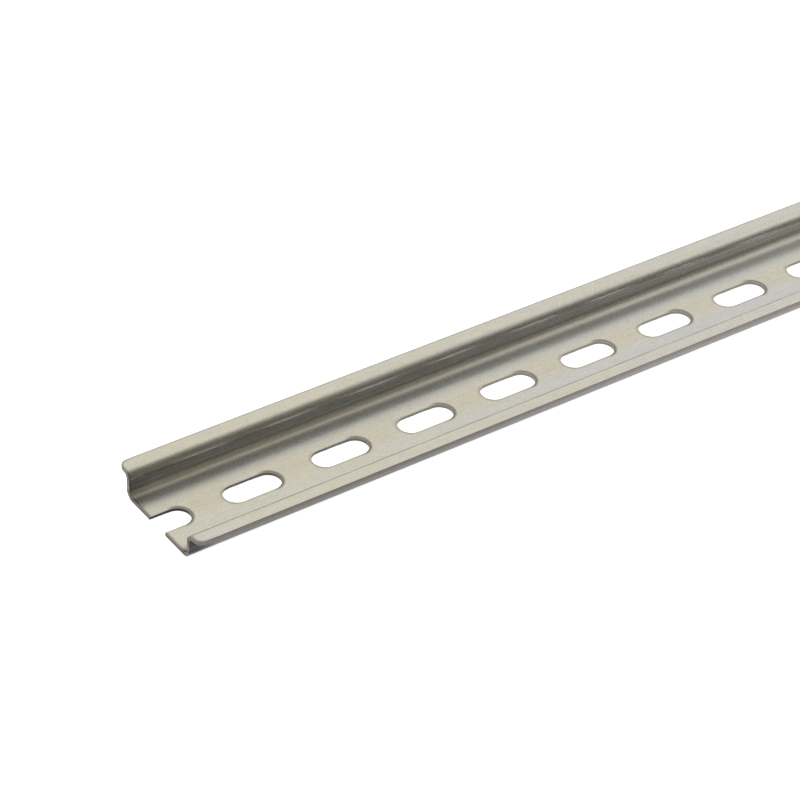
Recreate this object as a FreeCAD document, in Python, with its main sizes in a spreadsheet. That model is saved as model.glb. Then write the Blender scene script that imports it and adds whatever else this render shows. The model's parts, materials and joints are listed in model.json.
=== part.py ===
"""Slotted top-hat mounting rail, 35 mm wide and 7.5 mm high, in a 500 mm length.

The rail is one strip of 1 mm sheet steel, rolled into a shallow channel with two outward
flanges and punched with a row of slots along the middle of its web.

Frame, in millimetres: X runs along the rail, Y across it and Z up. The origin is the middle
of the web's underside, so the rail lies on its web with its flanges up. The end that was
sawn just past a slot's centre is at -X.
"""
import FreeCAD, Part
import os
import Sketcher

PART_NAME = "din_rail"

# Driving dimensions in millimetres: alias, value, what it is
SIZES = [
    ("rail_length", 500.0, "cut length of the stock"),
    ("rail_width", 35.0, "across both flanges"),
    ("rail_height", 7.5, "underside of the web to top of the flanges"),
    ("sheet_thickness", 1.0, "steel sheet"),
    ("channel_width", 25.0, "clear width between the walls"),
    ("bend_radius", 1.35, "inside of every bend"),
    ("corner_radius", 2.3, "flange corners at both ends, seen from above"),
    ("slot_length", 15.4, "end to end, along the rail"),
    ("slot_width", 6.6, "across the rail"),
    ("slot_pitch", 25.0, "slot centre to slot centre"),
    ("first_slot_offset", 1.0, "from the -X end to the centre of the slot it was cut through"),
    ("slot_lip_radius", 0.2, "edge that the punch drew in round each slot, on top of the web"),
]

# How near a point lies to a plane or an edge to count as on it
TOLERANCE = 0.001

# The most of a flange's flat that a rounded corner may take, where the flange is narrow
CORNER_SHARE = 0.95


def make_sheet(doc):
    """Write the driving dimensions into a spreadsheet, one row each, and return it."""
    sheet = doc.addObject("Spreadsheet::Sheet", "Sizes")
    for row, (alias, value, meaning) in enumerate(SIZES, start=1):
        sheet.set(f"A{row}", alias)
        sheet.set(f"B{row}", str(value))
        sheet.set(f"C{row}", meaning)
        sheet.setAlias(f"B{row}", alias)
    doc.recompute()
    return sheet


def origin_plane(body, role):
    """Find one of the body's own origin planes by its role."""
    return next(f for f in body.Origin.OriginFeatures if f.Role == role)


def new_sketch(body, name, role):
    """Start a sketch on one of the body's origin planes."""
    sketch = body.newObject("Sketcher::SketchObject", name)
    sketch.AttachmentSupport = [(origin_plane(body, role), "")]
    sketch.MapMode = "FlatFace"
    return sketch


def bind(sketch, kind, places, expression, start):
    """Add a dimension to the sketch and bind it to the spreadsheet."""
    index = sketch.addConstraint(Sketcher.Constraint(kind, *places, start))
    sketch.setExpression(f"Constraints[{index}]", expression)


def draw_section(sketch, size):
    """Draw the top-hat section with square corners: sketch x is across, sketch y is up.

    The outline starts at the right foot of the web and runs up the outside of the wall,
    round the flange, down into the channel and back the same way on the left.
    """
    outer = size["channel_width"] / 2 + size["sheet_thickness"]
    inner = size["channel_width"] / 2
    edge = size["rail_width"] / 2
    top = size["rail_height"]
    web = size["sheet_thickness"]
    right = [(outer, 0), (outer, top - web), (edge, top - web), (edge, top), (inner, top), (inner, web)]
    outline = right + [(-x, y) for x, y in reversed(right)]
    count = len(outline)
    for i, (x, y) in enumerate(outline):
        nx, ny = outline[(i + 1) % count]
        sketch.addGeometry(Part.LineSegment(FreeCAD.Vector(x, y, 0), FreeCAD.Vector(nx, ny, 0)), False)
    for i in range(count):
        sketch.addConstraint(Sketcher.Constraint("Coincident", i, 2, (i + 1) % count, 1))
        sketch.addConstraint(Sketcher.Constraint("Vertical" if i % 2 == 0 else "Horizontal", i))

    # The vertical lines 0, 2 and 4 stand on the right, and 10, 8 and 6 are their twins on the left
    across = [
        (0, 10, "Sizes.channel_width + 2 * Sizes.sheet_thickness", 2 * outer),
        (2, 8, "Sizes.rail_width", 2 * edge),
        (4, 6, "Sizes.channel_width", 2 * inner),
    ]
    for right_line, left_line, width, start in across:
        bind(sketch, "DistanceX", (-1, 1, right_line, 1), f"({width}) / 2", start / 2)
        bind(sketch, "DistanceX", (left_line, 1, right_line, 1), width, start)
    sketch.addConstraint(Sketcher.Constraint("PointOnObject", 0, 1, -1))
    bind(sketch, "DistanceY", (-1, 1, 5, 1), "Sizes.sheet_thickness", web)
    bind(sketch, "DistanceY", (-1, 1, 3, 1), "Sizes.rail_height", top)
    bind(sketch, "DistanceY", (-1, 1, 7, 1), "Sizes.rail_height", top)
    bind(sketch, "DistanceY", (2, 1, 2, 2), "Sizes.sheet_thickness", web)
    bind(sketch, "DistanceY", (8, 2, 8, 1), "Sizes.sheet_thickness", web)


def draw_slot(sketch, size):
    """Draw the slot nearest the -X end: two half circles joined by two straight sides."""
    radius = size["slot_width"] / 2
    reach = size["slot_length"] / 2 - radius
    middle = -size["rail_length"] / 2 + size["first_slot_offset"]
    up = FreeCAD.Vector(0, 0, 1)
    quarter = FreeCAD.Units.parseQuantity("90 deg").getValueAs("rad").Value
    for side in (-1, 1):
        centre = FreeCAD.Vector(middle + side * reach, 0, 0)
        circle = Part.Circle(centre, up, radius)
        first = quarter if side < 0 else -quarter
        sketch.addGeometry(Part.ArcOfCircle(circle, first, first + 2 * quarter), False)
    for y in (radius, -radius):
        start = FreeCAD.Vector(middle - reach, y, 0)
        end = FreeCAD.Vector(middle + reach, y, 0)
        sketch.addGeometry(Part.LineSegment(start, end), False)

    # Geometry 0 and 1 are the left and right arcs, 2 and 3 the far and near sides
    for arc, arc_end, side, side_end in ((0, 1, 2, 1), (0, 2, 3, 1), (1, 2, 2, 2), (1, 1, 3, 2)):
        sketch.addConstraint(Sketcher.Constraint("Tangent", arc, arc_end, side, side_end))
    sketch.addConstraint(Sketcher.Constraint("Equal", 0, 1))
    for arc in (0, 1):
        sketch.addConstraint(Sketcher.Constraint("PointOnObject", arc, 3, -1))
    bind(sketch, "Radius", (0,), "Sizes.slot_width / 2", radius)
    bind(sketch, "DistanceX", (0, 3, 1, 3), "Sizes.slot_length - Sizes.slot_width", 2 * reach)
    to_left_arc = "Sizes.rail_length / 2 - Sizes.first_slot_offset"
    to_left_arc += " + (Sizes.slot_length - Sizes.slot_width) / 2"
    bind(sketch, "DistanceX", (0, 3, -1, 1), to_left_arc, reach - middle)


def edges_where(shape, wanted):
    """Name the edges of the shape that the given test picks out."""
    return [f"Edge{i}" for i, edge in enumerate(shape.Edges, start=1) if wanted(edge)]


def add_fillet(body, name, base, wanted, radius):
    """Round the picked edges of a feature, with the radius bound to the spreadsheet."""
    fillet = body.newObject("PartDesign::Fillet", name)
    fillet.Base = (base, edges_where(base.Shape, wanted))
    fillet.setExpression("Radius", radius)
    body.Document.recompute()
    return fillet


def is_at(value, target):
    """Tell whether a coordinate is at a target."""
    return abs(value - target) < TOLERANCE


def lengthwise_at(edge, places):
    """Tell whether an edge runs along the rail at one of the given (y, z) places, on either side."""
    box = edge.BoundBox
    if box.YLength > TOLERANCE or box.ZLength > TOLERANCE:
        return False
    middle = edge.CenterOfMass
    return any(is_at(abs(middle.y), y) and is_at(middle.z, z) for y, z in places)


def is_flange_corner(edge, size):
    """Tell whether an edge is one of the four upright corners of the flanges."""
    box = edge.BoundBox
    middle = edge.CenterOfMass
    upright = box.XLength < TOLERANCE and box.YLength < TOLERANCE
    at_end = is_at(abs(middle.x), size["rail_length"] / 2)
    return upright and at_end and is_at(abs(middle.y), size["rail_width"] / 2)


def is_slot_rim(edge, size):
    """Tell whether an edge is part of a slot's outline on top of the web."""
    box = edge.BoundBox
    on_web = is_at(box.ZMin, size["sheet_thickness"]) and is_at(box.ZMax, size["sheet_thickness"])
    inside = max(abs(box.YMin), abs(box.YMax)) < size["slot_width"] / 2 + TOLERANCE
    along_end = box.XLength < TOLERANCE and is_at(abs(box.XMin), size["rail_length"] / 2)
    return on_web and inside and not along_end


def make_rail(doc, size):
    """Build the rail as one body and return it."""
    body = doc.addObject("PartDesign::Body", "DinRail")
    body.Label = PART_NAME

    # The rolled section, still with square corners
    section = new_sketch(body, "Section", "YZ_Plane")
    draw_section(section, size)
    strip = body.newObject("PartDesign::Pad", "Strip")
    strip.Profile = section
    strip.SideType = "Symmetric"
    strip.setExpression("Length", "Sizes.rail_length")
    doc.recompute()

    # The bends: the sheet turns round the same inner radius at the web and at the flanges
    inner = size["channel_width"] / 2
    outer = inner + size["sheet_thickness"]
    web = size["sheet_thickness"]
    top = size["rail_height"]
    insides = [(inner, web), (outer, top - web)]
    outsides = [(outer, 0), (inner, top)]
    inside_bends = add_fillet(
        body, "InsideBends", strip, lambda edge: lengthwise_at(edge, insides), "Sizes.bend_radius")
    outside_bends = add_fillet(
        body, "OutsideBends", inside_bends, lambda edge: lengthwise_at(edge, outsides),
        "Sizes.bend_radius + Sizes.sheet_thickness")

    # The flange corners, rounded when the length was cropped and kept clear of the bends
    flat = "((Sizes.rail_width - Sizes.channel_width) / 2 - Sizes.bend_radius - Sizes.sheet_thickness)"
    corners = add_fillet(
        body, "FlangeCorners", outside_bends, lambda edge: is_flange_corner(edge, size),
        f"min(Sizes.corner_radius; {CORNER_SHARE} * {flat})")

    # The slots, punched through the web at one pitch, so the ends cut through a slot each
    slot_outline = new_sketch(body, "SlotOutline", "XY_Plane")
    draw_slot(slot_outline, size)
    slot = body.newObject("PartDesign::Pocket", "Slot")
    slot.Profile = slot_outline
    slot.Type = "ThroughAll"
    slot.Reversed = True
    doc.recompute()
    if slot.Shape.Volume >= corners.Shape.Volume:
        raise RuntimeError("the slot cuts nothing")
    row = body.newObject("PartDesign::LinearPattern", "SlotRow")
    row.Originals = [slot]
    row.Direction = (slot_outline, ["H_Axis"])
    row.Mode = "Spacing"
    row.setExpression("Offset", "Sizes.slot_pitch")
    slot_starts = "(Sizes.rail_length - Sizes.first_slot_offset + Sizes.slot_length / 2)"
    row.setExpression("Occurrences", f"floor({slot_starts} / Sizes.slot_pitch) + 1")
    body.Tip = row
    doc.recompute()
    rims = add_fillet(
        body, "SlotRims", row, lambda edge: is_slot_rim(edge, size), "Sizes.slot_lip_radius")
    body.Tip = rims
    doc.recompute()
    return body


def check(doc, body):
    """Stop with a plain message if any feature failed or the rail is not one sound solid."""
    for item in doc.Objects:
        if {"Invalid", "Error"} & set(item.State):
            raise RuntimeError(f"{item.Name} failed: {item.State}")
    shape = body.Shape
    if shape.isNull() or not shape.isValid() or len(shape.Solids) != 1:
        raise RuntimeError("the rail is not one valid solid")


def main():
    """Build the rail, check it and write its STEP file."""
    doc = FreeCAD.newDocument("mounting_rail")
    sheet = make_sheet(doc)
    size = {alias: float(sheet.get(alias)) for alias, _, _ in SIZES}
    rail = make_rail(doc, size)
    check(doc, rail)
    os.makedirs("parts", exist_ok=True)
    rail.Shape.exportStep(f"parts/{rail.Label}.step")
    box = rail.Shape.BoundBox
    print(f"{rail.Label}: {box.XLength:.2f} x {box.YLength:.2f} x {box.ZLength:.2f} mm,"
          f" {rail.Shape.Volume:.1f} cubic mm, {len(rail.Shape.Faces)} faces")


main()
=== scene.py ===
"""The looks of a slotted top-hat mounting rail: its bent and punched sheet, finish, light and camera.

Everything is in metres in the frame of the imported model: X runs along the rail, Y across it and
Z up, with the web's underside on the floor at the origin. The rail is made the way the real one
is. A flat strip is cut and slotted, its edges get their thickness and their small roundings, and
the strip is then bent into the top-hat section.
"""
import json
import logging
import math
from dataclasses import dataclass
from enum import Enum
from typing import Any, Callable, Mapping, Sequence

import bpy
import numpy as np
from mathutils import Matrix, Vector


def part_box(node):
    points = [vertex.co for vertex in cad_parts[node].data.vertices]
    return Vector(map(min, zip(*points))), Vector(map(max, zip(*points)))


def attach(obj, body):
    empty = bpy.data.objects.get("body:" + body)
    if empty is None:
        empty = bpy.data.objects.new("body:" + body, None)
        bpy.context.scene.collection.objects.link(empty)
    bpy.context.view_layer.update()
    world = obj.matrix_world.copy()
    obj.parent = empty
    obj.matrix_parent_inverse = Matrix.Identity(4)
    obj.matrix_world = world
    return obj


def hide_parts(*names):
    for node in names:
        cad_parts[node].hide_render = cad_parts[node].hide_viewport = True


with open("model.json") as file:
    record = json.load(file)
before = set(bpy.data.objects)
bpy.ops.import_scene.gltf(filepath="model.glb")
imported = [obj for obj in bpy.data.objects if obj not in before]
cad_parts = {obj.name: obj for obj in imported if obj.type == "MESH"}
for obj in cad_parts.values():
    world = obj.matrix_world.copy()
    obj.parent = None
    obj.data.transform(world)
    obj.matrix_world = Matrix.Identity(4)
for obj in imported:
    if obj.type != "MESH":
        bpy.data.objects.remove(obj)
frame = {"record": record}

LOG = logging.getLogger("rail")
MM = 0.001
NODE = "din_rail"
BODY = "root"
SLOT = "passivated_zinc_steel"
Colour = tuple[float, float, float]
Span = tuple[float, float]
Stretch = tuple[float, float, Colour]
Row = tuple[float, ...]
WHITE: Colour = (1.0, 1.0, 1.0)


class Side(Enum):
    """The two faces of the sheet, as the sign of the way from its middle surface."""

    TOP = 1.0
    UNDER = -1.0


def srgb(*channels: float) -> Colour:
    """Turn an 8-bit colour as seen on a screen into the linear colour that shaders use."""
    seen = np.array(channels) / 255.0
    linear = np.where(seen <= 0.04045, seen / 12.92, ((seen + 0.055) / 1.055) ** 2.4)
    return tuple(float(channel) for channel in linear)


@dataclass(frozen=True)
class RailSizes:
    """The rail's sizes in metres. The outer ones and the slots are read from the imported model.

    Attributes:
        middle_slot: Where the middle slot's centre lies along the rail.
        corner: Radius of the flanges' corners.
        slot_lip: Radius of the slots' upper rims, which the punch rolled over.
        edge_round: Radius of the outline's upper rims.
        burr_round: Radius of all lower rims.
        soft_start: How far before a lower bend the web looks to start turning up.
        soft_run: Length over the sheet in which it looks to turn up to the wall.
        soft_power: How that turn is spread over its length: 1 is evenly, and more is late.
    """

    length: float
    width: float
    height: float
    slot_length: float
    slot_width: float
    slot_pitch: float
    middle_slot: float
    sheet: float = 1.0 * MM
    channel: float = 25.0 * MM
    bend_inside: float = 1.35 * MM
    corner: float = 2.3 * MM
    slot_lip: float = 0.06 * MM
    edge_round: float = 0.13 * MM
    burr_round: float = 0.05 * MM
    soft_start: float = 1.35 * MM
    soft_run: float = 4.6 * MM
    soft_power: float = 1.38

    @classmethod
    def from_frame(cls) -> "RailSizes":
        """Read the outer sizes from the node's box and the slots from the closest slot pair.

        The two slots of the closest pair lie one pitch to each side of the middle slot.

        Returns:
            The rail's sizes.
        """
        low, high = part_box(NODE)
        pairs = [m for m in frame["record"]["mounts"] if "slot_length_mm" in m["dims"]]
        closest = min(pairs, key=lambda m: m["dims"]["spacing_x_mm"])
        dims = closest["dims"]
        return cls(
            length=high.x - low.x,
            width=high.y - low.y,
            height=high.z - low.z,
            slot_length=dims["slot_length_mm"] * MM,
            slot_width=2.0 * dims["hole_r_mm"] * MM,
            slot_pitch=dims["spacing_x_mm"] / 2.0 * MM,
            middle_slot=closest["pos_m"][0],
        )

    @property
    def bend_middle(self) -> float:
        """Radius of the sheet's middle surface in a bend."""
        return self.bend_inside + self.sheet / 2.0

    @property
    def bend_run(self) -> float:
        """Length of a quarter bend along the middle surface."""
        return self.bend_middle * math.pi / 2.0

    @property
    def web_flat(self) -> float:
        """Half the flat width of the web, up to where its bends start."""
        return self.channel / 2.0 - self.bend_inside

    @property
    def wall_flat(self) -> float:
        """Straight height of a wall between its two bends."""
        return self.height - 2.0 * (self.bend_inside + self.sheet)

    @property
    def flange_start(self) -> float:
        """Where the flat of a flange starts, measured over the sheet from the middle line."""
        return self.web_flat + 2.0 * self.bend_run + self.wall_flat

    @property
    def strip_half(self) -> float:
        """Half the width of the flat strip before it is bent."""
        flange_flat = (self.width - self.channel) / 2.0 - self.bend_inside - self.sheet
        return self.flange_start + flange_flat


@dataclass(frozen=True)
class Steps:
    """How many steps each stretch of the strip is divided into.

    Attributes:
        cell_corner: From the start of a slot's half circle to the middle between two slots.
        rings: From a slot's outline to the border of its cell.
        ring_power: How much closer those lie near the slot: 1 is evenly, and more is closer.
        lip: Round the upper rim of an edge, and burr round the lower one.
    """

    slot_arc: int = 20
    slot_side: int = 2
    cell_corner: int = 5
    rings: int = 5
    ring_power: float = 1.4
    web: int = 8
    bend: int = 10
    wall: int = 5
    flange: int = 1
    corner_arc: int = 8
    lip: int = 4
    burr: int = 2


class FlatStrip:
    """The slotted strip before bending, as a flat mesh in (along, over) coordinates.

    Attributes:
        BAND: Half the width of the band along the web that the slots' cells fill.
        WELD: Distance under which two points are one.
        CORNER_FADE: Length over which a corner's rounding fades along the rail, in corner radii.
        points: One row per vertex, along the rail and over the sheet from its middle line.
        quads: Four vertex numbers per face, counter-clockwise seen from the channel's side.
        border: Directed edges on the outline and round the slots, with the sheet on their left.
    """

    BAND = 6.0 * MM
    WELD = 1e-8
    CORNER_FADE = 3.5

    def __init__(self, sizes: RailSizes, steps: Steps) -> None:
        """Lay out the strip.

        Args:
            sizes: The rail's sizes.
            steps: How finely it is divided.
        """
        self.sizes = sizes
        self.steps = steps
        self._points: list[np.ndarray] = []
        self._quads: list[np.ndarray] = []
        self._columns: list[np.ndarray] = []
        self._lay_slots()
        self._lay_long_grids()
        self.points, self.quads = self._weld()
        self.border = self._find_border()

    def _add_grid(self, along: np.ndarray, over: np.ndarray) -> None:
        """Add a grid of quads.

        Args:
            along: The points' places along the rail, as rows and columns.
            over: Their places over the sheet, in the same order.
        """
        rows, columns = along.shape
        start = sum(len(p) for p in self._points)
        number = start + np.arange(rows * columns).reshape(rows, columns)
        corners = (number[:-1, :-1], number[1:, :-1], number[1:, 1:], number[:-1, 1:])
        self._points.append(np.column_stack([along.ravel(), over.ravel()]))
        self._quads.append(np.column_stack([c.ravel() for c in corners]))

    def _half_cell(self, centre: float, facing: float, start: float) -> None:
        """Lay the web round one half of a slot, out to the middle of the web beside it.

        The inner line runs along the slot's side, round its half circle and back. The outer
        line is the half cell's straight border, and the points between them move from one
        line to the other in a straight way, closer together near the slot.

        Args:
            centre: The slot's centre along the rail.
            facing: 1 for the half towards +X, -1 for the other.
            start: Where the half starts, measured from the centre the way it faces.
        """
        s, n = self.sizes, self.steps
        radius = s.slot_width / 2.0
        reach = s.slot_length / 2.0 - radius
        end = s.slot_pitch / 2.0
        side = np.linspace(start, reach, n.slot_side + 1)
        angle = np.linspace(math.pi / 2.0, -math.pi / 2.0, n.slot_arc + 1)
        inner_x = np.concatenate([side[:-1], reach + radius * np.cos(angle), side[-2::-1]])
        inner_y = np.concatenate([
            np.full(n.slot_side, radius), radius * np.sin(angle), np.full(n.slot_side, -radius)])
        top = np.linspace(reach, end, n.cell_corner + 1)
        down = np.linspace(self.BAND, -self.BAND, n.slot_arc - 2 * n.cell_corner + 1)
        outer_x = np.concatenate([side[:-1], top, np.full(len(down) - 2, end), top[::-1], side[-2::-1]])
        flat = np.full(n.slot_side + n.cell_corner, self.BAND)
        outer_y = np.concatenate([flat, down, -flat])
        out = np.linspace(0.0, 1.0, n.rings + 1)[:, None] ** n.ring_power
        along = inner_x * (1.0 - out) + outer_x * out
        over = inner_y * (1.0 - out) + outer_y * out
        self._add_grid(centre + facing * along, over)
        self._columns.append(centre + facing * np.concatenate([side, top]))

    def _lay_slots(self) -> None:
        """Lay the web round every slot.

        A half cell that would stick out past the rail's end is left out. The other half of that
        cell then starts where the rail does, so that the end cuts through the slot.
        """
        s = self.sizes
        half = s.length / 2.0
        reach = half + s.slot_length / 2.0
        first = math.ceil((-reach - s.middle_slot) / s.slot_pitch)
        last = math.floor((reach - s.middle_slot) / s.slot_pitch)
        for number in range(first, last + 1):
            centre = s.middle_slot + number * s.slot_pitch
            for facing in (-1.0, 1.0):
                room = half - s.slot_pitch / 2.0 + self.WELD
                if facing * centre > room:
                    continue
                alone = -facing * centre > room
                self._half_cell(centre, facing, -half - facing * centre if alone else 0.0)

    def _long_rows(self) -> np.ndarray:
        """Divide one side of the sheet, from the band's border out to the flange's edge.

        Returns:
            The places over the sheet, closer together in the bends and round the corner.
        """
        s, n = self.sizes, self.steps
        wall = s.web_flat + s.bend_run
        ends = (self.BAND, s.web_flat, wall, wall + s.wall_flat, s.flange_start, s.strip_half - s.corner)
        counts = (n.web, n.bend, n.wall, n.bend, n.flange)
        rows = [
            np.linspace(start, end, count, endpoint=False)
            for start, end, count in zip(ends, ends[1:], counts)
        ]
        angle = np.linspace(0.0, math.pi / 2.0, n.corner_arc + 1)
        return np.concatenate([*rows, ends[-1] + s.corner * np.sin(angle)])

    def _lay_long_grids(self) -> None:
        """Lay the strip beside the slots, with its corners rounded.

        A row's end lies on the corner's quarter circle, and the places near it move in with it,
        less and less over a short way.
        """
        s = self.sizes
        columns = np.unique(np.round(np.concatenate(self._columns) / self.WELD)) * self.WELD
        rows = self._long_rows()
        beyond = np.clip(rows - (s.strip_half - s.corner), 0.0, s.corner)
        shift = s.corner - np.sqrt(np.maximum(s.corner**2 - beyond**2, 0.0))
        from_end = s.length / 2.0 - np.abs(columns)
        fade = np.clip(1.0 - from_end / (self.CORNER_FADE * s.corner), 0.0, 1.0)
        along = columns[None, :] - np.sign(columns)[None, :] * shift[:, None] * fade[None, :]
        over = np.repeat(rows[:, None], len(columns), axis=1)
        for facing in (1.0, -1.0):
            self._add_grid(along, facing * over)

    def _weld(self) -> tuple[np.ndarray, np.ndarray]:
        """Join the points that the grids share, and turn every face to look at the channel's side.

        Returns:
            The joined points and the faces.
        """
        points = np.concatenate(self._points)
        whole = np.round(points / self.WELD).astype(np.int64)
        _, keep, renumber = np.unique(whole, axis=0, return_index=True, return_inverse=True)
        points = points[keep]
        quads = renumber.reshape(-1)[np.concatenate(self._quads)]
        across = points[quads[:, 2]] - points[quads[:, 0]]
        other = points[quads[:, 3]] - points[quads[:, 1]]
        turned = across[:, 0] * other[:, 1] - across[:, 1] * other[:, 0] < 0.0
        quads[turned] = quads[turned, ::-1]
        return points, quads

    def _find_border(self) -> np.ndarray:
        """Find the edges that only one face has.

        Returns:
            Two vertex numbers per edge, in the way that its face runs.
        """
        edges = np.concatenate([self.quads[:, [i, (i + 1) % 4]] for i in range(4)])
        _, place, count = np.unique(np.sort(edges, axis=1), axis=0, return_index=True, return_counts=True)
        return edges[place[count == 1]]


def mesh_object(
    name: str, points: np.ndarray, quads: np.ndarray, normals: np.ndarray | None = None,
) -> bpy.types.Object:
    """Make a smooth mesh object from arrays and put it in the scene.

    Args:
        name: The object's name.
        points: One row per vertex, in metres.
        quads: Four vertex numbers per face.
        normals: One unit direction per vertex, or None to let the mesh find its own.

    Returns:
        The new object, at the origin.
    """
    mesh = bpy.data.meshes.new(name)
    mesh.vertices.add(len(points))
    mesh.vertices.foreach_set("co", np.ascontiguousarray(points, np.float32).ravel())
    mesh.loops.add(quads.size)
    mesh.loops.foreach_set("vertex_index", np.ascontiguousarray(quads, np.int32).ravel())
    mesh.polygons.add(len(quads))
    mesh.polygons.foreach_set("loop_start", np.arange(0, quads.size, 4, dtype=np.int32))
    mesh.update(calc_edges=True)
    mesh.polygons.foreach_set("use_smooth", np.ones(len(quads), bool))
    if normals is not None:
        mesh.normals_split_custom_set_from_vertices(normals)
    mesh.validate()
    piece = bpy.data.objects.new(name, mesh)
    bpy.context.scene.collection.objects.link(piece)
    return piece


def add_attribute(piece: bpy.types.Object, name: str, values: np.ndarray) -> None:
    """Store one number or vector per vertex on a mesh, for a material to read.

    Args:
        piece: The mesh object.
        name: The attribute's name.
        values: One number per vertex, or one row of three.
    """
    kind, key = ("FLOAT", "value") if values.ndim == 1 else ("FLOAT_VECTOR", "vector")
    attribute = piece.data.attributes.new(name, kind, "POINT")
    attribute.data.foreach_set(key, np.ascontiguousarray(values, np.float32).ravel())


def _operator(operation: str, reflected: bool = False) -> Callable[["Value", Any], "Value"]:
    """Make a method of Value that adds a Math node, with the other value first if reflected."""
    def method(self: "Value", other: Any) -> "Value":
        """Add the node to the value's tree."""
        return self.math(operation, *((other, self) if reflected else (self, other)))

    return method


@dataclass(frozen=True)
class Value:
    """A number that a shader works out at an output socket: Python operators add Math nodes."""

    tree: "Tree"
    socket: bpy.types.NodeSocket

    __add__ = __radd__ = _operator("ADD")
    __mul__ = __rmul__ = _operator("MULTIPLY")
    __sub__ = _operator("SUBTRACT")
    __rsub__ = _operator("SUBTRACT", reflected=True)
    __truediv__ = _operator("DIVIDE")
    __rtruediv__ = _operator("DIVIDE", reflected=True)
    __pow__ = _operator("POWER")
    __rpow__ = _operator("POWER", reflected=True)
    at_least = _operator("MAXIMUM")
    at_most = _operator("MINIMUM")

    def math(self, operation: str, *values: Any) -> "Value":
        """Add a Math node with this operation on the given values."""
        return self.tree.make("ShaderNodeMath", {"operation": operation}, dict(enumerate(values)))

    def __neg__(self) -> "Value":
        """Change the sign."""
        return self * -1.0

    def cos(self) -> "Value":
        """Take the cosine of an angle in radians."""
        return self.math("COSINE", self)

    def size(self) -> "Value":
        """Drop the sign."""
        return self.math("ABSOLUTE", self)

    def wrapped(self, low: float, high: float) -> "Value":
        """Bring the value between two limits by adding whole steps of the distance between them."""
        return self.math("WRAP", self, high, low)

    def bell(self, centre: float, width: float) -> "Value":
        """Rise to 1 at a centre and fall away on both sides, to about a third one width out."""
        away = (self - centre) / width
        return self.math("EXPONENT", -(away * away))

    def step(self, low: float, high: float) -> "Value":
        """Go smoothly from 0 at low to 1 at high."""
        sockets = {"Value": self, "From Min": low, "From Max": high}
        return self.tree.make("ShaderNodeMapRange", {"interpolation_type": "SMOOTHSTEP"}, sockets)


class Tree:
    """A node tree, with one method that makes any node and a few that name common uses of it."""

    def __init__(self, tree: bpy.types.NodeTree) -> None:
        """Empty a node tree and work in it."""
        self.tree = tree
        tree.nodes.clear()

    def make(
        self, kind: str, settings: Mapping[str, Any] | None = None,
        sockets: Mapping[Any, Any] | None = None, output: int | str = 0,
    ) -> Value:
        """Add a node.

        Args:
            kind: The node's type.
            settings: Its own settings, which are set first.
            sockets: Values or links for its inputs, by name or number.
            output: Which of its outputs to return.

        Returns:
            The chosen output, or the first input of a node that has no output.
        """
        node = self.tree.nodes.new(kind)
        for key, setting in (settings or {}).items():
            setattr(node, key, setting)
        for key, given in (sockets or {}).items():
            socket = node.inputs[key]
            if isinstance(given, Value):
                self.tree.links.new(given.socket, socket)
            else:
                socket.default_value = (*given, 1.0) if socket.type == "RGBA" else given
        return Value(self, node.outputs[output] if node.outputs else node.inputs[0])

    def mix(self, factor: Any, first: Any, second: Any) -> Value:
        """Mix two colours, from all of the first at 0 to all of the second at 1."""
        sockets = {0: factor, 6: first, 7: second}
        return self.make("ShaderNodeMix", {"data_type": "RGBA"}, sockets, 2)

    def graded(self, place: Value, first: Any, stretches: Sequence[Stretch]) -> Value:
        """Change from one colour to the next along a way.

        Args:
            place: The place along the way.
            first: The colour that it starts with.
            stretches: Where each change starts, where it is done, and its new colour.

        Returns:
            The colour at the place.
        """
        colour = first
        for start, done, new in stretches:
            colour = self.mix(place.step(start, done), colour, new)
        return colour

    def scaled(self, vector: Value, scale: Sequence[float]) -> Value:
        """Multiply a vector by another, part by part."""
        return self.make("ShaderNodeVectorMath", {"operation": "MULTIPLY"}, {0: vector, 1: tuple(scale)})

    def parts(self, vector: Value) -> tuple[Value, Value, Value]:
        """Take a vector apart into its three numbers."""
        separate = self.make("ShaderNodeSeparateXYZ", sockets={0: vector}).socket.node
        return tuple(Value(self, output) for output in separate.outputs)

    def noise(self, vector: Value, scale: Sequence[float], detail: float = 2.0) -> Value:
        """Soft noise from 0 to 1 around one half, with its own scale in each direction."""
        sockets = {"Vector": self.scaled(vector, scale), "Scale": 1.0, "Detail": detail, "Roughness": 0.55}
        return self.make("ShaderNodeTexNoise", {"noise_dimensions": "3D"}, sockets)


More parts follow.
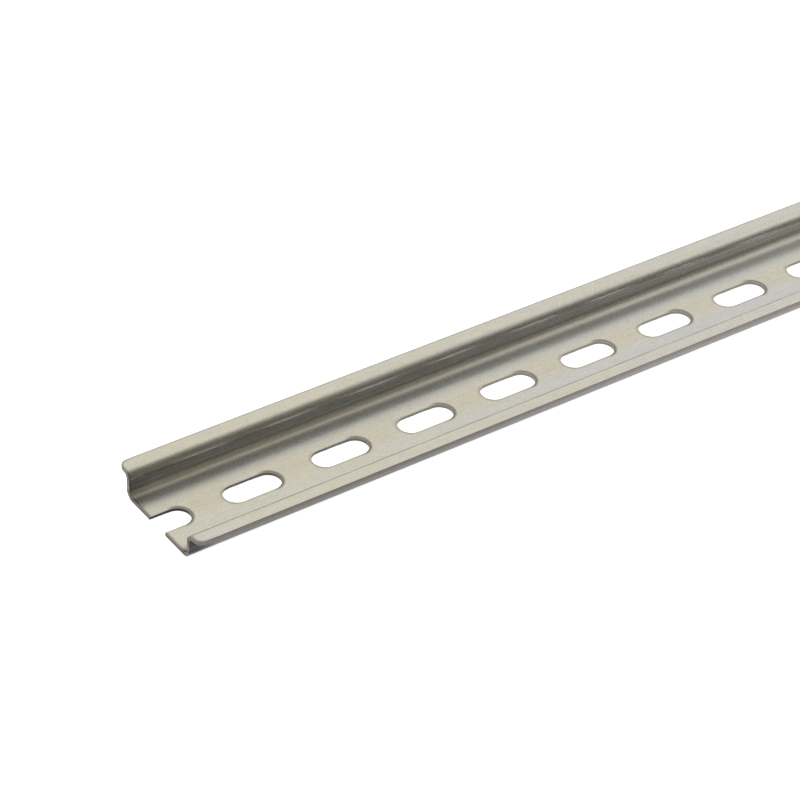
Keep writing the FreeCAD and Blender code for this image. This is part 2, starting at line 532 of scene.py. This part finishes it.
@dataclass(frozen=True)
class Places:
    """Where on the sheet a shader is, as values in millimetres worked out from the attributes.

    Attributes:
        tree: The material's node tree.
        point: The place along, over and through the sheet as one vector.
        end: Distance from the rail's -X end.
        over: Place over the sheet, from its middle line.
        away: The same without its sign.
        through: Height over the sheet's middle surface.
        slot: Distance along the rail from the nearest slot's centre, with its sign.
        beside_slot: Distance from the nearest slot's outline.
        inside: Distance from the rail's own outline, negative on the sheet.
        cut: 1 on sheared edges.
        punched: 1 round the slots.
    """

    tree: Tree
    point: Value
    end: Value
    over: Value
    away: Value
    through: Value
    slot: Value
    beside_slot: Value
    inside: Value
    cut: Value
    punched: Value

    @classmethod
    def of(cls, tree: Tree, sizes: RailSizes) -> "Places":
        """Work the values out.

        A slot's outline is a half circle round each end of its middle line, so its distance is
        the distance from that line less the radius. The rail's outline is a rectangle with
        rounded corners, and is treated in the same way.

        Args:
            tree: The material's node tree.
            sizes: The rail's sizes.

        Returns:
            The values.
        """
        metres = tree.make("ShaderNodeAttribute", {"attribute_name": "strip"}, output="Vector")
        cut = tree.make("ShaderNodeAttribute", {"attribute_name": "cut"}, output="Fac")
        punched = tree.make("ShaderNodeAttribute", {"attribute_name": "punched"}, output="Fac")
        point = tree.scaled(metres, (1.0 / MM, 1.0 / MM, 1.0 / MM))
        along, over, through = tree.parts(point)
        away = over.size()

        pitch = sizes.slot_pitch / MM
        radius = sizes.slot_width / 2.0 / MM
        slot = (along - sizes.middle_slot / MM).wrapped(-pitch / 2.0, pitch / 2.0)
        past = (slot.size() - (sizes.slot_length / 2.0 / MM - radius)).at_least(0.0)
        beside_slot = (past * past + over * over) ** 0.5 - radius

        corner = sizes.corner / MM
        past_end = along.size() - (sizes.length / 2.0 / MM - corner)
        past_side = away - (sizes.strip_half / MM - corner)
        out_end, out_side = past_end.at_least(0.0), past_side.at_least(0.0)
        within = past_end.at_least(past_side).at_most(0.0)
        inside = (out_end * out_end + out_side * out_side) ** 0.5 + within - corner
        end = along + sizes.length / 2.0 / MM
        return cls(tree, point, end, over, away, through, slot, beside_slot, inside, cut, punched)


@dataclass(frozen=True)
class PassivatedZinc:
    """Zinc plating with a thin passivation film that tints it straw, tan and grey in places.

    Lengths and places are in millimetres. A patch is given as its middle and its width, and a
    change along a way as the places where it starts and where it is done.
    """

    # The film's tints, and the length along the rail in which it drifts to pale and back
    straw: Colour = srgb(205, 200, 182)
    tan: Colour = srgb(202, 194, 174)
    pale: Colour = srgb(198, 197, 192)
    drift_length: float = 400.0

    # Patches of the web over the sheet, and the one at each slot along the rail
    web_middle: Span = (0.8, 3.2)
    web_near: Span = (-6.5, 3.5)
    web_far: Span = (8.5, 2.5)
    slot_patch: Span = (0.0, 6.0)

    # Tints by the place over the sheet: brown lower bends, darker as painted shade in their
    # crease, grey walls and a dull near flange
    bend: Colour = srgb(170, 163, 147)
    bend_shade_patch: Span = (11.7, 1.5)
    wall: Colour = srgb(197, 197, 193)
    wall_start: Span = (13.6, 14.8)
    wall_end: Span = (16.9, 17.7)
    dull: Colour = srgb(206, 202, 195)
    dull_over: Span = (16.0, 18.0)
    dull_along: Span = (3.0, 17.0)

    # Darker rims round the slots, partly a tint that the punch drew and partly painted shade
    # where they roll over, by the distance from the slot's outline, and painted shade on the
    # rounded rims of the rail's outline, by the distance from it and from the rail's end
    drawn_shaded: Colour = srgb(122, 116, 107)
    drawn_shaded_wide: Span = (0.25, 1.05)
    drawn_shaded_near: Span = (0.3, 0.8)
    drawn_shaded_thin: Span = (0.0, 0.3)
    rim_shade_end: Colour = srgb(112, 110, 104)
    rim_shade_along: tuple[Stretch, ...] = ((1.0, 6.0, srgb(176, 175, 170)),)
    rim_shade_width: Span = (-0.8, -0.15)

    # The under face, darker as painted shade under the flanges and most at the rail's end,
    # punched edges, which are rolled over, sheared and torn, with the sheared band darker
    # partly as painted shade inside the slots, and cropped edges. Each starts with its colour
    # at the rail's end, and changes in stretches from there on
    under_shade_end: Colour = srgb(72, 70, 70)
    under_shade_along: tuple[Stretch, ...] = ((1.5, 9.0, srgb(130, 127, 127)), (20.0, 150.0, srgb(149, 146, 145)))
    sheared_shaded_end: Colour = srgb(52, 50, 46)
    sheared_shaded_along: tuple[Stretch, ...] = ((7.0, 13.0, srgb(78, 74, 67)), (20.0, 110.0, srgb(124, 118, 110)))
    rolled: Colour = srgb(178, 174, 163)
    torn: Colour = srgb(235, 233, 228)
    cropped_end: Colour = srgb(109, 105, 98)
    cropped_along: tuple[Stretch, ...] = ((40.0, 150.0, srgb(125, 120, 114)),)
    cropped_web: Colour = srgb(87, 86, 82)
    cropped_web_edge: Span = (10.0, 12.0)
    cropped_wall: Colour = srgb(114, 112, 106)
    cropped_wall_start: Span = (10.8, 11.8)
    cropped_wall_end: Span = (19.0, 20.0)

    # Changes of shade that lines along the strip and the matt grain make; the lengthwise bands
    # are deeper on the walls, as painted reflections in streaks
    line_depth: float = 0.16
    mottle_depth: float = 0.16
    grain_depth: float = 0.42
    band_depth: float = 0.1
    wall_reflection_depth: float = 0.6

    # Painted highlights and shade in streaks beside the bends: the place over the sheet, the
    # width, and the change of shade at the rail's end and where the film has drifted furthest
    bend_light_and_shade: tuple[Row, ...] = (
        (11.0, 0.90, -0.30, 0.00),
        (12.8, 0.35, 0.27, -0.06),
        (13.7, 0.35, -0.26, -0.22),
        (14.9, 0.55, 0.62, 0.04),
        (17.4, 0.45, -0.34, -0.34),
        (18.3, 0.50, -0.12, 0.21),
    )

    # Painted shade on the walls at the rail's end: the place over the sheet, the width, the
    # change of shade, and the distances from the end where it starts to fade and is gone
    end_shade_patches: tuple[Row, ...] = (
        (15.3, 1.2, -0.22, 0.0, 60.0),
        (14.5, 3.5, -0.25, 1.0, 7.0),
    )

    # Roughness, what each place adds to it, and the grain's relief in metres
    roughness: float = 0.31
    web_roughness: float = -0.05
    drift_roughness: float = -0.03
    cut_roughness: float = 0.15
    grain_roughness: float = 0.08
    web_edge: Span = (9.0, 11.0)
    relief: float = 0.03 * MM
    relief_strength: float = 0.1

    def material(self, sizes: RailSizes) -> bpy.types.Material:
        """Make the material.

        Args:
            sizes: The rail's sizes, for the patches that the slots and the bends cause.

        Returns:
            The material.
        """
        material = bpy.data.materials.new(SLOT)
        material.use_nodes = True
        tree = Tree(material.node_tree)
        at = Places.of(tree, sizes)
        lines = tree.noise(at.point, (0.05, 5.5, 1.0), 4.0)
        grain = tree.noise(at.point, (2.8, 4.4, 2.8))
        colour = tree.mix(at.cut.step(0.4, 0.95), self._film(at), self._edges(at, grain))
        shade = 1.0 + (lines - 0.5) * self.line_depth + (grain - 0.5) * self.grain_depth
        shade = shade + self._patches(at)
        shaded = tree.make("ShaderNodeVectorMath", {"operation": "SCALE"}, {0: colour, "Scale": shade})

        on_web = 1.0 - at.away.step(*self.web_edge)
        rough = self.roughness + on_web * self.web_roughness + self._drift(at) * self.drift_roughness
        rough = rough + (lines + grain - 1.0) * self.grain_roughness + at.cut * self.cut_roughness
        relief = tree.make("ShaderNodeBump", None, {
            "Strength": self.relief_strength, "Distance": self.relief, "Height": lines * 0.6 + grain * 0.4})
        shader = tree.make("ShaderNodeBsdfPrincipled", None, {
            "Base Color": shaded, "Metallic": 1.0, "Roughness": rough, "Normal": relief})
        tree.make("ShaderNodeOutputMaterial", None, {"Surface": shader})
        return material

    def _drift(self, at: Places) -> Value:
        """Tell how far the film has drifted: from 0, straw, to 1, pale, and back along the rail."""
        return (1.0 - (at.end * (2.0 * math.pi / self.drift_length)).cos()) * 0.5

    def _on_wall(self, at: Places) -> Value:
        """Mark the flat of the walls with 1."""
        return at.away.step(*self.wall_start) - at.away.step(*self.wall_end)

    def _patches(self, at: Places) -> Value:
        """Add up the coarser changes of shade: mottle, bands that on the walls are painted
        reflections, painted highlights and shade beside the bends, and painted shade at the end.

        Args:
            at: Where the shader is.

        Returns:
            The change of shade.
        """
        drift = self._drift(at)
        mottle = at.tree.noise(at.point, (0.5, 0.9, 0.7))
        bands = at.tree.noise(at.point, (0.01, 1.9, 0.3))
        change = (mottle - 0.5) * self.mottle_depth
        # On the walls the lengthwise bands are deeper: painted reflections in streaks
        change = change + (bands - 0.5) * (self.band_depth + self._on_wall(at) * self.wall_reflection_depth)
        # Painted highlights and shade in streaks beside the bends
        for centre, width, first, last in self.bend_light_and_shade:
            change = change + at.away.bell(centre, width) * (drift * (last - first) + first)
        # Painted shade on the walls and bends near the rail's end
        for centre, width, depth, start, gone in self.end_shade_patches:
            change = change + at.away.bell(centre, width) * (1.0 - at.end.step(start, gone)) * depth
        return change

    def _film(self, at: Places) -> Value:
        """Tint the rolled faces.

        The film is tan between the slots and pale along the web's sides, and it drifts from
        straw to pale and back along the rail. The walls are grey, and the lower bends brown and
        darker as painted shade in their crease. The rail's outline has painted shade on its
        rounded rims. The under face is darker, as painted shade under the flanges.

        Args:
            at: Where the shader is.

        Returns:
            The colour.
        """
        tree, drift = at.tree, self._drift(at)
        middle = at.over.bell(*self.web_middle)
        near = at.over.bell(*self.web_near)
        far = at.over.bell(*self.web_far)
        between = 1.0 - at.slot.bell(*self.slot_patch)
        clouds = tree.noise(at.point, (0.07, 0.16, 0.1)) - 0.5
        haze = tree.noise(at.point, (0.05, 0.13, 0.1)) - 0.5
        tanned = between * middle * 0.9 + clouds * 0.5
        paled = drift * (0.5 + near * 0.6) + near * 0.2 + far * 0.8
        paled = paled * (1.0 - middle * 0.85) + haze * 0.4
        # Brown tint of the lower bends, darkened as painted shade in their crease
        browned_and_shaded = at.away.bell(*self.bend_shade_patch) * (0.95 - drift * 0.35)
        dulled = (-at.over).step(*self.dull_over) * (1.0 - at.end.step(*self.dull_along)) * 0.75
        greyed = self._on_wall(at) * 0.9
        colour = tree.mix(tanned, self.straw, self.tan)
        for share, tint in (
            (paled, self.pale), (greyed, self.wall), (browned_and_shaded, self.bend), (dulled, self.dull),
        ):
            colour = tree.mix(share, colour, tint)
        colour = self._slot_rims(at, colour)

        # Painted shade on the rounded rims of the outline, darkest at the rail's end
        rim = tree.graded(at.end, self.rim_shade_end, self.rim_shade_along)
        off_near_flange = at.over.step(-16.0, -14.0)
        by_end = 1.0 - at.end.step(2.0, 6.0)
        rim_shade_share = off_near_flange.at_least(by_end) * 0.5 + 0.15
        colour = tree.mix(at.inside.step(*self.rim_shade_width) * rim_shade_share, colour, rim)

        # Painted shade on the under face, for the shade under the flanges, darkest at the rail's end
        under = tree.graded(at.end, self.under_shade_end, self.under_shade_along)
        return tree.mix((-at.through).step(0.2, 0.45), colour, under)

    def _slot_rims(self, at: Places, colour: Value) -> Value:
        """Darken the slots' rims, partly a tint that the punch drew and partly painted shade where
        they roll over: wide at their two ends, narrow on the near side, thin all round.

        Args:
            at: Where the shader is.
            colour: The colour of the face round the slots.

        Returns:
            The colour with the rims.
        """
        # Painted shade where the rims roll over into the slots, with the tint that the punch drew
        at_ends = at.slot.step(3.0, 6.5) * 0.95 + (-at.slot).step(5.0, 7.0) * 0.35
        on_near_side = (-at.over).step(1.0, 2.5) * 0.3
        for width, share in (
            (self.drawn_shaded_wide, at_ends), (self.drawn_shaded_thin, 0.25), (self.drawn_shaded_near, on_near_side),
        ):
            rim = 1.0 - at.beside_slot.step(*width)
            colour = at.tree.mix(rim * share, colour, self.drawn_shaded)
        return colour

    def _edges(self, at: Places, grain: Value) -> Value:
        """Tint the sheared edges.

        A slot's edge is paler where the punch rolled it over, dark where it sheared the sheet,
        partly as painted shade inside the slot and most at the rail's end, and pale where the
        sheet then tore, but in the rims' darker colour and dull at the slot's +X end. Cropped
        edges are one colour through the sheet.

        Args:
            at: Where the shader is.
            grain: The plating's grain, which frays the line between sheared and torn.

        Returns:
            The colour.
        """
        tree = at.tree
        # The sheared band is dark partly as painted shade inside the slots, darkest at the rail's end
        sheared = tree.graded(at.end, self.sheared_shaded_end, self.sheared_shaded_along)
        torn = tree.mix(at.slot.step(1.5, 4.5), self.torn, self.drawn_shaded)
        punched = tree.mix((grain * 0.3 - at.through).step(0.35, 0.6), sheared, torn)
        punched = tree.mix(at.through.step(0.3, 0.5), punched, self.rolled)
        cropped = tree.graded(at.end, self.cropped_end, self.cropped_along)
        cropped = tree.mix(at.away.step(*self.cropped_web_edge), self.cropped_web, cropped)
        on_far_wall = at.over.step(*self.cropped_wall_start) - at.over.step(*self.cropped_wall_end)
        cropped = tree.mix(on_far_wall, cropped, self.cropped_wall)
        return tree.mix(at.punched.step(0.3, 0.7), cropped, punched)


@dataclass(frozen=True)
class SheetEdge:
    """The rounded edge of the sheet, with a row per step from the top face to the under face.

    Attributes:
        inset: How far each point lies in from the outline.
        lift: Its height over the middle surface.
        outward: The outward part of the surface's direction there.
        upward: The upward part of that direction.
    """

    inset: np.ndarray
    lift: np.ndarray
    outward: np.ndarray
    upward: np.ndarray


@dataclass
class RailStrip:
    """The rail itself: the flat strip given its thickness, its edges, its bends and its finish.

    Attributes:
        sizes: The rail's sizes.
        finish: What it is plated with.
        steps: How finely it is divided.
    """

    sizes: RailSizes
    finish: PassivatedZinc = PassivatedZinc()
    steps: Steps = Steps()

    def __post_init__(self) -> None:
        """Lay out the flat strip."""
        self.flat = FlatStrip(self.sizes, self.steps)

    def _section(self, over: np.ndarray) -> tuple[np.ndarray, np.ndarray, np.ndarray]:
        """Bend the middle surface: find its place, and the way it runs, at places over the sheet.

        Going out from the middle line, the surface runs level along the web, turns up through a
        quarter circle, climbs the wall, turns back through another and runs level as the flange.
        The part with a negative place is the mirror image.

        Args:
            over: Places over the sheet, from its middle line.

        Returns:
            The distance across the rail, the height, and the angle at which the surface climbs.
        """
        s = self.sizes
        away = np.abs(over)
        quarter = math.pi / 2.0
        first = np.clip((away - s.web_flat) / s.bend_middle, 0.0, quarter)
        wall = np.clip(away - s.web_flat - s.bend_run, 0.0, s.wall_flat)
        second = np.clip((away - s.web_flat - s.bend_run - s.wall_flat) / s.bend_middle, 0.0, quarter)
        flange = np.maximum(away - s.flange_start, 0.0)
        across = np.minimum(away, s.web_flat) + flange
        across = across + s.bend_middle * (np.sin(first) + 1.0 - np.cos(second))
        height = s.sheet / 2.0 + wall + s.bend_middle * (1.0 - np.cos(first) + np.sin(second))
        return np.sign(over) * across, height, np.sign(over) * (first - second)

    def _soft_climb(self, over: np.ndarray, climb: np.ndarray) -> np.ndarray:
        """Find the angle at which the surface looks to climb.

        Rolled sheet has no sharp start of a bend: beside its lower bends the web already turns
        up a little, and the turn goes on into the wall. The shape is too shallow there to be
        worth modelling, but it widens the highlight.

        Args:
            over: Places over the sheet, from its middle line.
            climb: The angles at which the plain surface climbs there.

        Returns:
            The softened angles, the same as the plain ones from the middle of the walls on.
        """
        s = self.sizes
        away = np.abs(over)
        share = np.clip((away - s.web_flat + s.soft_start) / s.soft_run, 0.0, 1.0)
        soft = np.sign(over) * share**s.soft_power * math.pi / 2.0
        return np.where(away < s.web_flat - s.soft_start + s.soft_run, soft, climb)

    def _edge(self, lip: np.ndarray) -> SheetEdge:
        """Work out the edge's rounded profile at every point of the border.

        From the top face, a quarter circle turns down into the edge's flat, and a much smaller
        one turns under to the other face.

        Args:
            lip: The upper rounding's radius at each border point.

        Returns:
            The profile, with a column per border point.
        """
        half = self.sizes.sheet / 2.0
        upper = np.linspace(0.0, math.pi / 2.0, self.steps.lip + 1)[:, None]
        lower = np.linspace(0.0, math.pi / 2.0, self.steps.burr + 1)[:, None]
        burr = np.full_like(lip, self.sizes.burr_round)
        inset = np.concatenate([lip * (1.0 - np.sin(upper)), burr * (1.0 - np.cos(lower))])
        lift = np.concatenate([half - lip * (1.0 - np.cos(upper)), burr * (1.0 - np.sin(lower)) - half])
        outward = np.concatenate([np.sin(upper), np.cos(lower)]) * np.ones_like(lip)
        upward = np.concatenate([np.cos(upper), -np.sin(lower)]) * np.ones_like(lip)
        return SheetEdge(inset, lift, outward, upward)

    def _outline_directions(self) -> tuple[np.ndarray, np.ndarray]:
        """Find the border's points and the mitred way out of the sheet at each of them.

        The way out at a point is the sum of its two edges' outward directions, lengthened so
        that moving along it moves both edges by the same distance.

        Returns:
            The border points' numbers and their mitred outward vectors.
        """
        points, border = self.flat.points, self.flat.border
        step = points[border[:, 1]] - points[border[:, 0]]
        step /= np.linalg.norm(step, axis=1)[:, None]
        out = np.column_stack([step[:, 1], -step[:, 0]])
        total = np.zeros_like(points)
        np.add.at(total, border[:, 0], out)
        np.add.at(total, border[:, 1], out)
        numbers = np.unique(border)
        total = total[numbers]
        return numbers, 2.0 * total / (total**2).sum(axis=1)[:, None]

    def _bend(self, flat: np.ndarray, lift: np.ndarray, tilt: np.ndarray) -> tuple[np.ndarray, np.ndarray]:
        """Carry flat points and directions into the bent rail.

        Args:
            flat: Places along the rail and over the sheet.
            lift: Heights over the middle surface.
            tilt: Directions as parts along the rail, over the sheet and out of its top face.

        Returns:
            The points and the unit directions in the rail's frame.
        """
        across, height, climb = self._section(flat[:, 1])
        points = np.column_stack([flat[:, 0], across - lift * np.sin(climb), height + lift * np.cos(climb)])
        seen = self._soft_climb(flat[:, 1], climb)
        cos, sin = np.cos(seen), np.sin(seen)
        ways = np.column_stack([
            tilt[:, 0], tilt[:, 1] * cos - tilt[:, 2] * sin, tilt[:, 1] * sin + tilt[:, 2] * cos])
        return points, ways / np.linalg.norm(ways, axis=1)[:, None]

    def _thicken(
        self, numbers: np.ndarray, out: np.ndarray, edge: SheetEdge,
    ) -> tuple[np.ndarray, np.ndarray, np.ndarray]:
        """Give the flat strip its two faces and the rows of points on its edge.

        The border of each face is drawn in to the edge's first or last row. The rows between
        them follow after the points of both faces.

        Args:
            numbers: The border points' numbers.
            out: Their mitred outward vectors.
            edge: The edge's profile.

        Returns:
            The points' places along and over the sheet, their heights over its middle surface,
            and the surface's directions there.
        """
        places, lifts, ways = [], [], []
        for side, row in ((Side.TOP, 0), (Side.UNDER, -1)):
            face = self.flat.points.copy()
            face[numbers] -= edge.inset[row][:, None] * out
            places.append(face)
            lifts.append(np.full(len(face), side.value * self.sizes.sheet / 2.0))
            ways.append(np.tile((0.0, 0.0, side.value), (len(face), 1)))
        rim = self.flat.points[numbers] - edge.inset[1:-1, :, None] * out
        level = edge.outward[1:-1, :, None] * out / np.linalg.norm(out, axis=1)[:, None]
        places.append(rim.reshape(-1, 2))
        lifts.append(edge.lift[1:-1].ravel())
        ways.append(np.concatenate([level, edge.upward[1:-1, :, None]], axis=2).reshape(-1, 3))
        return np.concatenate(places), np.concatenate(lifts), np.concatenate(ways)

    def _quads(self, numbers: np.ndarray, rows: int) -> np.ndarray:
        """Join the points into the two faces of the sheet and the strips of its edge.

        Args:
            numbers: The border points' numbers.
            rows: How many rows the edge's profile has.

        Returns:
            Four point numbers per face.
        """
        flat, count = self.flat, len(self.flat.points)
        index = np.full(count, -1)
        index[numbers] = np.arange(len(numbers))
        first, second = index[flat.border[:, 0]], index[flat.border[:, 1]]
        between = 2 * count + np.arange((rows - 2) * len(numbers)).reshape(rows - 2, -1)
        edge_rows = [numbers, *between, count + numbers]
        quads = [flat.quads, count + flat.quads[:, ::-1]]
        for above, below in zip(edge_rows, edge_rows[1:]):
            quads.append(np.column_stack([below[first], below[second], above[second], above[first]]))
        return np.concatenate(quads)

    def build(self) -> bpy.types.Object:
        """Make the rail and give it its finish.

        The mesh gets three attributes for the finish: strip, the place along, over and through
        the sheet, cut, which is 1 on sheared edges and 0 on the rolled faces, and punched, which
        is 1 round the slots.

        Returns:
            The rail's mesh object.
        """
        sizes, flat = self.sizes, self.flat
        numbers, out = self._outline_directions()
        by_slot = np.abs(flat.points[numbers, 1]) <= sizes.slot_width / 2.0 + flat.WELD
        edge = self._edge(np.where(by_slot, sizes.slot_lip, sizes.edge_round))
        places, lifts, ways = self._thicken(numbers, out, edge)
        points, normals = self._bend(places, lifts, ways)
        rows = len(edge.inset)
        piece = mesh_object("mounting_rail", points, self._quads(numbers, rows), normals)

        count = len(flat.points)
        punched = np.zeros(count)
        punched[numbers] = by_slot
        rims = np.tile(by_slot.astype(float), rows - 2)
        add_attribute(piece, "strip", np.column_stack([places, lifts]))
        add_attribute(piece, "cut", np.concatenate([np.zeros(2 * count), edge.outward[1:-1].ravel()]))
        add_attribute(piece, "punched", np.concatenate([punched, punched, rims]))
        piece.data.materials.append(self.finish.material(sizes))
        return piece


@dataclass(frozen=True)
class Studio:
    """A white floor under soft, even light from all round, with a dim gap in front of the rail.

    A direction lies in the gap where it is near enough to two others: the gap's middle, which
    gives it its reach, and its left side, which cuts it off to the right. Limits are cosines.

    Attributes:
        floor_reach: Half the side of the square floor.
        floor_drop: How far it lies under the rail, so that the two don't share a surface.
        floor_glow: What lifts it to white where it is seen or mirrored.
        gap_reach: Limits in which the gap begins, going towards its middle.
        gap_cut: Limits in which the cut ends, going towards the left side.
    """

    floor_reach: float = 12.0
    floor_drop: float = 0.02 * MM
    floor_colour: Colour = (0.93, 0.93, 0.93)
    floor_glow: float = 0.78
    gap_light: Colour = (0.092, 0.093, 0.096)
    gap_middle: tuple[float, float, float] = (0.758, -0.458, 0.464)
    gap_reach: tuple[float, float] = (0.602, 0.710)
    gap_left: tuple[float, float, float] = (-0.901, -0.433, -0.013)
    gap_cut: tuple[float, float] = (-0.282, -0.242)

    def build(self) -> bpy.types.Object:
        """Make the light round the rail and the floor under it, and return the floor."""
        self._surroundings()
        return self._floor()

    def _floor(self) -> bpy.types.Object:
        """Make the floor that the rail lies on, lifted to white where it is seen or mirrored.

        Returns:
            The floor's mesh object.
        """
        reach = self.floor_reach
        corners = np.array([[-reach, -reach], [reach, -reach], [reach, reach], [-reach, reach]])
        points = np.column_stack([corners, np.full(4, -self.floor_drop)])
        floor = mesh_object("floor", points, np.array([[0, 1, 2, 3]]))
        material = bpy.data.materials.new("floor_paper")
        material.use_nodes = True
        tree = Tree(material.node_tree)
        paper = tree.make("ShaderNodeBsdfDiffuse", None, {"Color": self.floor_colour})
        camera, glossy, through = (tree.make("ShaderNodeLightPath", output=kind) for kind in (
            "Is Camera Ray", "Is Glossy Ray", "Is Transmission Ray"))
        lift = (camera + glossy + through) * self.floor_glow
        glow = tree.make("ShaderNodeEmission", None, {"Color": WHITE, "Strength": lift})
        both = tree.make("ShaderNodeAddShader", None, {0: paper, 1: glow})
        tree.make("ShaderNodeOutputMaterial", None, {"Surface": both})
        floor.data.materials.append(material)
        return floor

    def _surroundings(self) -> None:
        """Light the rail evenly from all round, apart from the gap."""
        world = bpy.context.scene.world or bpy.data.worlds.new("studio")
        bpy.context.scene.world = world
        world.use_nodes = True
        tree = Tree(world.node_tree)
        way = tree.make("ShaderNodeTexCoord", output="Generated")
        reach = self._nearness(tree, way, self.gap_middle, self.gap_reach)
        cut = self._nearness(tree, way, self.gap_left, self.gap_cut)
        light = tree.mix(reach * cut, WHITE, self.gap_light)
        shader = tree.make("ShaderNodeBackground", None, {"Color": light, "Strength": 1.0})
        tree.make("ShaderNodeOutputWorld", None, {"Surface": shader})

    @staticmethod
    def _nearness(tree: Tree, way: Value, side: Sequence[float], limits: tuple[float, float]) -> Value:
        """Grade how near the light's direction is to a side.

        Args:
            tree: The world's node tree.
            way: The direction that the light comes from.
            side: The side's direction.
            limits: Cosines of the angle between them at which the grade is 0 and 1.

        Returns:
            The grade, which grows evenly with the cosine.
        """
        unit = tuple(Vector(side).normalized())
        cosine = tree.make(
            "ShaderNodeVectorMath", {"operation": "DOT_PRODUCT"}, {0: way, 1: unit}, "Value")
        sockets = {"Value": cosine, "From Min": limits[0], "From Max": limits[1]}
        return tree.make("ShaderNodeMapRange", {"clamp": True}, sockets)


@dataclass(frozen=True)
class PhotoView:
    """The camera, where the photograph was taken from.

    Attributes:
        azimuth: The way it looks over the floor, in degrees from +Y towards +X.
        elevation: How far it looks down, in degrees.
        roll: How far it is turned about its own axis, in degrees.
        distance: Its distance from the aim, the point on the floor that its axis meets.
        aim_from_end: The aim's distance along the rail from the -X end.
        aim_across: The aim's place across the rail.
        focal_pixels: Its focal length, measured in the photograph's pixels.
        sensor: Its sensor's width in millimetres.
    """

    azimuth: float = 37.605
    elevation: float = 37.098
    roll: float = -3.545
    distance: float = 734.9 * MM
    aim_from_end: float = 75.80 * MM
    aim_across: float = 10.27 * MM
    focal_pixels: float = 3010.9
    frame_pixels: float = 800.0
    sensor: float = 36.0
    clip: Span = (0.01, 100.0)

    def build(self, sizes: RailSizes) -> bpy.types.Object:
        """Make the camera and set it as the scene's.

        Args:
            sizes: The rail's sizes, for the place of its end.

        Returns:
            The camera object.
        """
        turn, dip = math.radians(self.azimuth), math.radians(self.elevation)
        ahead = Vector((math.sin(turn), math.cos(turn), 0.0))
        forward = ahead * math.cos(dip) - Vector((0.0, 0.0, math.sin(dip)))
        right = Vector((ahead.y, -ahead.x, 0.0))
        level = Matrix((right, -forward.cross(right), -forward)).transposed()
        aim = Vector((self.aim_from_end - sizes.length / 2.0, self.aim_across, 0.0))
        data = bpy.data.cameras.new("photo_view")
        data.sensor_width = self.sensor
        data.lens = self.focal_pixels / self.frame_pixels * self.sensor
        data.clip_start, data.clip_end = self.clip
        camera = bpy.data.objects.new("photo_view", data)
        bpy.context.scene.collection.objects.link(camera)
        rolled = level @ Matrix.Rotation(math.radians(-self.roll), 3, "Z")
        camera.matrix_world = Matrix.Translation(aim - forward * self.distance) @ rolled.to_4x4()
        bpy.context.scene.camera = camera
        return camera


def main() -> None:
    """Build the rail, the studio round it and the camera, and report each of them."""
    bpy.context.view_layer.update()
    sizes = RailSizes.from_frame()
    rail = RailStrip(sizes).build()
    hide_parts(NODE)
    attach(rail, BODY)
    LOG.info("%s: %d faces", rail.name, len(rail.data.polygons))
    floor = Studio().build()
    LOG.info("%s: %.0f m wide", floor.name, floor.dimensions.x)
    camera = PhotoView().build(sizes)
    LOG.info("%s: lens of %.1f mm", camera.name, camera.data.lens)
    bpy.context.scene.view_settings.view_transform = "Standard"


if __name__ == "__main__":
    logging.basicConfig(level=logging.INFO, format="%(name)s: %(message)s")
    main()
